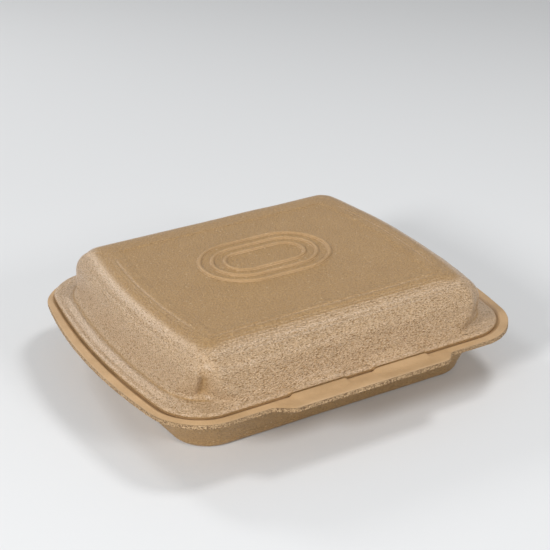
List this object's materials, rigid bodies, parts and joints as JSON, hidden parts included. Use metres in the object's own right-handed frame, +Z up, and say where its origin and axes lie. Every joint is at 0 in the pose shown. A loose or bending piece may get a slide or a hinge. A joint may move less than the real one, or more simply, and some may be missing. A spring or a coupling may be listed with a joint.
{
  "type": "compartment meal box",
  "caption": "Closed foam takeaway box with a recessed lid, a rounded top panel, a closing lip with tongues in slots, a folded back edge and divided compartments.",
  "frame": {"origin": "Middle of the flat underside that the tray stands on", "axes": "+X along the long side, -Y towards the closing lip, +Y towards the fold, +Z up"},
  "size_m": [0.24, 0.2138, 0.0638],
  "materials": {
    "foam": "matte embossed foam sheet",
    "pressed_foam": "foam sheet pressed thin"
  },
  "bodies": {
    "tray": {"tray": "foam", "hinge_fold": "pressed_foam"},
    "lid": {"lid": "foam"}
  },
  "joints": [
    {"name": "lid_fold", "type": "hinge", "parent": "tray", "child": "lid", "pos_m": [0, 0.1015, 0.03195], "axis": [-1, 0, 0], "range_deg": [0, 180], "deforming": ["hinge_fold"]}
  ]
}
